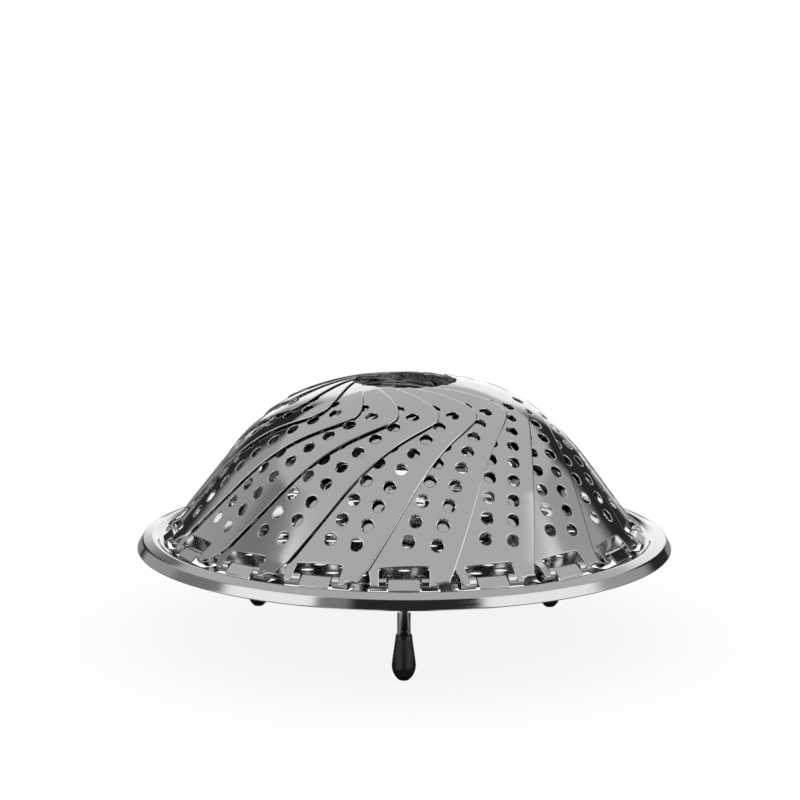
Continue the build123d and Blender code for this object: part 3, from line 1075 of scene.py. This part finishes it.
@dataclass
class Tray:
    """The pressed tray with its perforated floor, windows and hinge tabs."""

    ring_radius: float = 85.0
    ring_height: float = 28.6
    sheet: float = 0.6
    skirt_height: float = 3.0
    skirt_flare: float = 1.8
    shoulder_round: float = 1.2
    crown_rise: float = 1.15
    crown_width: float = 3.7
    crown_round: float = 1.5
    channel_depth: float = 1.27
    channel_slope_width: float = 1.7
    channel_round: float = 0.6
    floor_radius: float = 64.0
    floor_depth: float = 0.48
    step_width: float = 3.2
    step_round: float = 1.5
    round_steps: int = 6
    hole_diameter: float = 4.0
    hole_sides: int = 20
    hole_pitch: float = 8.6
    hole_first_radius: float = 17.0
    hole_rings: int = 6
    seat_half_width: float = 9.0
    seat_half_depth: float = 5.8
    window_width: float = 20.8
    window_margin: float = 2.2
    window_corner: float = 1.2
    tab_width: float = 9.2
    tab_reach: float = 3.6
    tab_corner: float = 0.35
    tab_inner_slope: float = math.radians(45.0)
    tab_outer_slope: float = math.radians(40.0)
    tab_inside: float = 0.95
    tab_rows: int = 26
    tab_columns: tuple[float, ...] = (-0.6, -0.2, 0.2, 0.6)
    hinge_radius: float = HINGE_RADIUS
    hinge_height: float = HINGE_HEIGHT
    sides: int = 360

    def __post_init__(self) -> None:
        """Work out the section's heights and radii and the tab's slope."""
        self.shoulder = self.ring_height + self.skirt_height
        self.crown = self.shoulder + self.crown_rise
        self.channel = self.crown - self.channel_depth
        self.floor = self.channel - self.floor_depth
        self.shoulder_radius = self.ring_radius - self.skirt_flare
        self.crown_radius = self.shoulder_radius - self.crown_width
        self.channel_radius = self.crown_radius - self.channel_slope_width
        self.root_lean = math.pi / 2 + self.tab_inner_slope

    def corners(self) -> list[tuple[float, float, float]]:
        """Return the section's corners as (radius, height, rounding)."""
        return [
            (0.0, self.floor, 0.0),
            (self.floor_radius, self.floor, self.step_round),
            (self.floor_radius + self.step_width, self.channel, self.step_round),
            (self.channel_radius, self.channel, self.channel_round),
            (self.crown_radius, self.crown, self.crown_round),
            (self.shoulder_radius, self.shoulder, self.shoulder_round),
            (self.ring_radius, self.ring_height, 0.0),
        ]

    def section(self) -> list[tuple[float, float, float, float]]:
        """Return the outer face's section.

        Returns:
            Points as (radius, height, the normal's outward and upward parts), from the axis
            to the rim.
        """
        line: list[tuple[float, float, float, float]] = []
        corners = self.corners()
        spots = [Vector(corner[:2]) for corner in corners]
        for number, here in enumerate(spots):
            rounding = corners[number][2]
            if not rounding:
                start = max(number - 1, 0)
                run = (spots[start + 1] - spots[start]).normalized()
                line.append((here.x, here.y, -run.y, run.x))
                continue
            back = (here - spots[number - 1]).normalized()
            ahead = (spots[number + 1] - here).normalized()
            turn = math.atan2(ahead.x, -ahead.y) - math.atan2(back.x, -back.y)
            arm = math.copysign(rounding, turn)
            normal = Vector((-back.y, back.x))
            middle = here - back * (rounding * math.tan(abs(turn) / 2)) + normal * arm
            for step in range(self.round_steps + 1):
                angle = math.atan2(normal.y, normal.x) + turn * step / self.round_steps
                ray = Vector((math.cos(angle), math.sin(angle)))
                line.append((*(middle - ray * arm), *ray))
        return line

    def carry(self, section: list[tuple[float, ...]]) -> Callable[[float, float], Spot]:
        """Return the function that lifts a plan point onto the tray's upper face."""
        radii, *rows = np.array(section).T

        def lift(x: float, y: float) -> Spot:
            """Lift one plan point."""
            radius = math.hypot(x, y)
            height, lean, rise = (float(np.interp(radius, radii, row)) for row in rows)
            flat = Vector((x, y, 0.0)) / radius
            normal = Vector((flat.x * lean, flat.y * lean, rise)).normalized()
            return Vector((x, y, height)), normal

        return lift

    def hole_middles(self) -> list[Point2]:
        """Return the floor holes' middles, leaving the leg brackets their seats."""
        middles = []
        for ring in range(self.hole_rings):
            radius = self.hole_first_radius + ring * self.hole_pitch * math.sqrt(3) / 2
            per_leg = round(2 * math.pi * radius / self.hole_pitch / 3)
            for part in range(per_leg):
                turn = (part + (ring % 2) / 2) / per_leg * THIRD_TURN
                offset = math.radians(turn if turn < THIRD_TURN / 2 else turn - THIRD_TURN)
                across = radius * math.sin(offset)
                along = radius * math.cos(offset) - LEG_CIRCLE
                if abs(across) < self.seat_half_width and abs(along) < self.seat_half_depth:
                    continue
                for leg in range(3):
                    angle = math.radians(turn + leg * THIRD_TURN)
                    middles.append((radius * math.sin(angle), -radius * math.cos(angle)))
        return middles

    def tab_root_length(self, radius: float) -> float:
        """Return how far the tab's inner leg runs down to the channel's underside."""
        bottom = self.channel - self.sheet
        arch = self.hinge_height + radius * math.sin(self.root_lean)
        return (arch - bottom) / -math.cos(self.root_lean)

    def windows(self) -> list[list[Point2]]:
        """Return the windows' outlines in plan, all round the hinge channel."""
        length = self.tab_root_length(self.tab_inside)
        inner = (self.hinge_radius + self.tab_inside * math.cos(self.root_lean)
                 - length * math.sin(self.root_lean))
        outer = self.channel_radius - self.window_margin
        half, corner = self.window_width / 2, self.window_corner
        front = []
        for x, r, first in (
            (half - corner, outer - corner, 0), (-half + corner, outer - corner, 90),
            (-half + corner, inner + corner, 180), (half - corner, inner + corner, 270),
        ):
            front += arc((x, r), corner, range(first, first + 91, 18))
        return [
            [(x * math.cos(turn) + r * math.sin(turn), x * math.sin(turn) - r * math.cos(turn))
             for x, r in front]
            for turn in (2 * math.pi * number / PLACES for number in range(PLACES))
        ]

    def shell_mesh(self) -> Mesh:
        """Make the tray's pressing without its tabs.

        Returns:
            The mesh of the perforated, windowed sheet.
        """
        section = self.section()
        holes = [circle(middle, self.hole_diameter / 2, self.hole_sides)
                 for middle in self.hole_middles()]
        radii = [spot[0] for spot in section[1:-1]]
        radii += [(self.crown_radius + self.shoulder_radius) / 2,
                  (self.shoulder_radius + self.ring_radius) / 2]
        inner = [spot for radius in radii for spot in circle((0.0, 0.0), radius, self.sides)]
        outline = circle((0.0, 0.0), self.ring_radius, self.sides)
        sheet = PressedSheet(outline, holes + self.windows(), inner, self.carry(section),
                             self.sheet)
        return joined("tray_shell", sheet.build())

    def tab_mesh(self) -> Mesh:
        """Make the front hinge tab.

        Returns:
            The mesh of its root leg, its arch over the leaf's neck and its tongue.
        """
        outside = self.tab_inside + self.sheet
        tongue_lean = math.pi / 2 - self.tab_outer_slope
        root = self.tab_root_length(outside)
        arch = outside * (self.root_lean - tongue_lean)
        tongue = (self.tab_reach - outside * math.cos(tongue_lean)) / math.sin(tongue_lean)
        total = root + arch + tongue

        def carry(across: float, along: float) -> Spot:
            """Carry a point of the flat tab onto its bent outer face."""
            if along < root:
                lean, slide = self.root_lean, -(root - along)
            elif along < root + arch:
                lean, slide = self.root_lean - (along - root) / outside, 0.0
            else:
                lean, slide = tongue_lean, along - root - arch
            x = self.hinge_radius + outside * math.cos(lean) + slide * math.sin(lean)
            z = self.hinge_height + outside * math.sin(lean) - slide * math.cos(lean)
            return Vector((across, -x, z)), Vector((0.0, -math.cos(lean), math.sin(lean)))

        half, corner, rows = self.tab_width / 2, self.tab_corner, self.tab_rows
        steps = [total * row / rows for row in range(rows)]
        outline = [(-half, 0.0)] + [(half, along) for along in steps]
        outline += arc((half - corner, total - corner), corner, range(0, 91, 30))
        outline += arc((-half + corner, total - corner), corner, range(90, 181, 30))
        outline += [(-half, along) for along in steps[:0:-1]]
        inner = [(half * share, along) for along in steps[1:] for share in self.tab_columns]
        return joined("front_tab", PressedSheet(outline, [], inner, carry, self.sheet).build())

    def build(self, ring: RingArray) -> None:
        """Make the tray.

        Args:
            ring: The array that sets the tabs round the hinge channel.
        """
        settle(self.shell_mesh(), "satin_tray", SatinSteel(), "base_tray")
        polished = MirrorSteel()
        tabs = ring.turned(self.tab_mesh(), polished, PLACES, 2 * math.pi / PLACES)
        settle(tabs, "hinge_tabs", polished, "base_tray")


@dataclass
class Boot:
    """A rubber boot on a leg's end: round below, drawn in to its rim."""

    length: float = 13.8
    top_radius: float = 2.45
    belly_radius: float = 3.6
    belly_height: float = 4.4
    belly_steps: int = 12
    sole_radius: float = 1.5
    neck_steps: int = 8
    neck_ease: float = 0.35
    lip_height: float = 0.2
    lip_inset: float = 0.15
    bore_radius: float = 2.0
    bore_depth: float = 1.0
    sides: int = 56

    def outline(self) -> list[Point2]:
        """Return the boot's half section, from the sole's middle to the bore's floor."""
        swell = self.belly_radius - self.sole_radius
        ball = (swell ** 2 + self.belly_height ** 2) / (2 * swell)
        whole = math.asin(self.belly_height / ball)
        line = [(0.0, 0.0), (self.sole_radius, 0.0)]
        for step in range(1, self.belly_steps + 1):
            turn = whole * (1 - step / self.belly_steps)
            line.append((self.belly_radius - ball * (1 - math.cos(turn)),
                         self.belly_height - ball * math.sin(turn)))
        rise = self.length - self.belly_height - self.lip_height
        for step in range(1, self.neck_steps + 1):
            share = step / self.neck_steps
            drawn = eased(share) * self.neck_ease + share * (1 - self.neck_ease)
            line.append((self.belly_radius + (self.top_radius - self.belly_radius) * drawn,
                         self.belly_height + rise * share))
        bore_floor = self.length - self.bore_depth
        line += [(self.top_radius - self.lip_inset, self.length),
                 (self.bore_radius, self.length), (self.bore_radius, bore_floor),
                 (0.0, bore_floor)]
        return line

    def build(self, name: str, turn: float) -> None:
        """Make one leg's boot.

        Args:
            name: The leg's name.
            turn: The leg's place round the basket, in radians.
        """
        spot = (LEG_CIRCLE * math.sin(turn), -LEG_CIRCLE * math.cos(turn), 0.0)
        boot = Turning(self.outline(), self.sides).build(Matrix.Translation(spot))
        settle(joined("boot", boot), f"{name}_rubber_boot", BootRubber(),
               f"{name}_leg_boot")


@dataclass
class BrightPieces:
    """The legs, the lifting ring and what holds them, of bright wire and strip."""

    legs: tuple[str, ...] = ("front", "right", "left")
    leg_pieces: tuple[str, ...] = ("leg", "leg_pin", "bracket_rivets", "leg_bracket")
    ring_pieces: tuple[str, ...] = ("lift_ring", "ring_saddle", "saddle_rivets")

    def dress(self, node: str) -> None:
        """Give a CAD node's own shape the bright finish."""
        settle(smoothed_copy(node), f"bright_{node}", DrawnSteel(), node)

    def build(self) -> None:
        """Make every leg's pieces with its boot, then the lifting ring's pieces."""
        for number, leg in enumerate(self.legs):
            for piece in self.leg_pieces:
                self.dress(f"{leg}_{piece}")
            Boot().build(leg, 2 * math.pi * number / len(self.legs))
        for node in self.ring_pieces:
            self.dress(node)


# The studio


@dataclass
class Studio:
    """Camera, floor, soft light and what the steel mirrors."""

    camera_place: Colour = (0.0, -0.665266, 0.184991)
    camera_right: Colour = (0.99999093, 0.00280281, 0.00320706)
    camera_up: Colour = (-0.00362261, 0.16369389, 0.98650453)
    lens: float = 95.7476
    sensor: float = 36.0
    clip: Point2 = (0.01, 50.0)
    floor_reach: float = 4.0
    around: tuple[Point2, ...] = (
        (-180, 1.30), (-168, 1.30), (-161, 0.03), (-148, 0.03), (-142, 0.50), (-120, 0.48),
        (-114, 0.30), (-91, 0.30), (-86, 1.50), (-46, 1.50), (-42, 0.31), (-29, 0.31),
        (-25, 0.03), (37, 0.03), (41, 1.50), (92, 1.45), (99, 0.55), (124, 0.50),
        (132, 0.03), (154, 0.03), (162, 1.30), (180, 1.30),
    )
    overhead: float = 0.70
    meet_height: float = 0.70
    meet_lean: float = 0.283
    meet_blur: float = 0.025

    def camera(self) -> None:
        """Set the camera where the photograph was taken from."""
        right, up = Vector(self.camera_right), Vector(self.camera_up)
        data = bpy.data.cameras.new("camera")
        data.lens, data.sensor_width = self.lens, self.sensor
        data.clip_start, data.clip_end = self.clip
        eye = placed("camera", data)
        turned = Matrix((right, up, right.cross(up))).transposed().to_4x4()
        eye.matrix_world = Matrix.Translation(self.camera_place) @ turned
        bpy.context.scene.camera = eye

    def floor(self) -> None:
        """Lay the floor."""
        mesh = bpy.data.meshes.new("floor")
        low, high = -self.floor_reach, self.floor_reach
        corners = [(low, low, 0.0), (high, low, 0.0), (high, high, 0.0), (low, high, 0.0)]
        mesh.from_pydata(corners, [], [(0, 1, 2, 3)])
        mesh.materials.append(WhiteFloor().material())
        placed("floor", mesh)

    def surroundings(self) -> None:
        """Build the white room, with the soft panels and dark edges that steel mirrors."""
        world = bpy.data.worlds.new("studio")
        world.use_nodes = True
        bpy.context.scene.world = world
        tree = Tree(world.node_tree)
        x, y, z = tree.parts(tree.add("ShaderNodeTexCoord").outputs["Generated"])
        height = tree.math("ADD", z, tree.math("MULTIPLY", y, self.meet_lean))
        meet = (self.meet_height - self.meet_blur, self.meet_height + self.meet_blur)
        above = tree.spread(height, meet, (0.0, 1.0), interpolation_type="SMOOTHSTEP")
        level = tree.mixed(above, tree.zones(x, y, self.around),
                           (self.overhead, self.overhead, self.overhead, 1.0))
        path = tree.add("ShaderNodeLightPath").outputs
        mirrored = tree.math("MAXIMUM", path["Is Glossy Ray"], path["Is Transmission Ray"])
        colour = tree.mixed(mirrored, WHITE, level)
        sky = tree.out("ShaderNodeBackground", {"Color": colour, "Strength": 1.0})
        tree.add("ShaderNodeOutputWorld", {"Surface": sky})

    def build(self) -> None:
        """Build the whole studio."""
        self.camera()
        self.floor()
        self.surroundings()
        bpy.context.scene.view_settings.view_transform = "Standard"


def main() -> None:
    """Build the studio and the basket, piece by piece."""
    logging.basicConfig(level=logging.INFO, format="%(name)s: %(message)s")
    ring = RingArray()
    Studio().build()
    Tray().build(ring)
    Leaves().build(ring)
    BrightPieces().build()


if __name__ == "__main__":
    main()
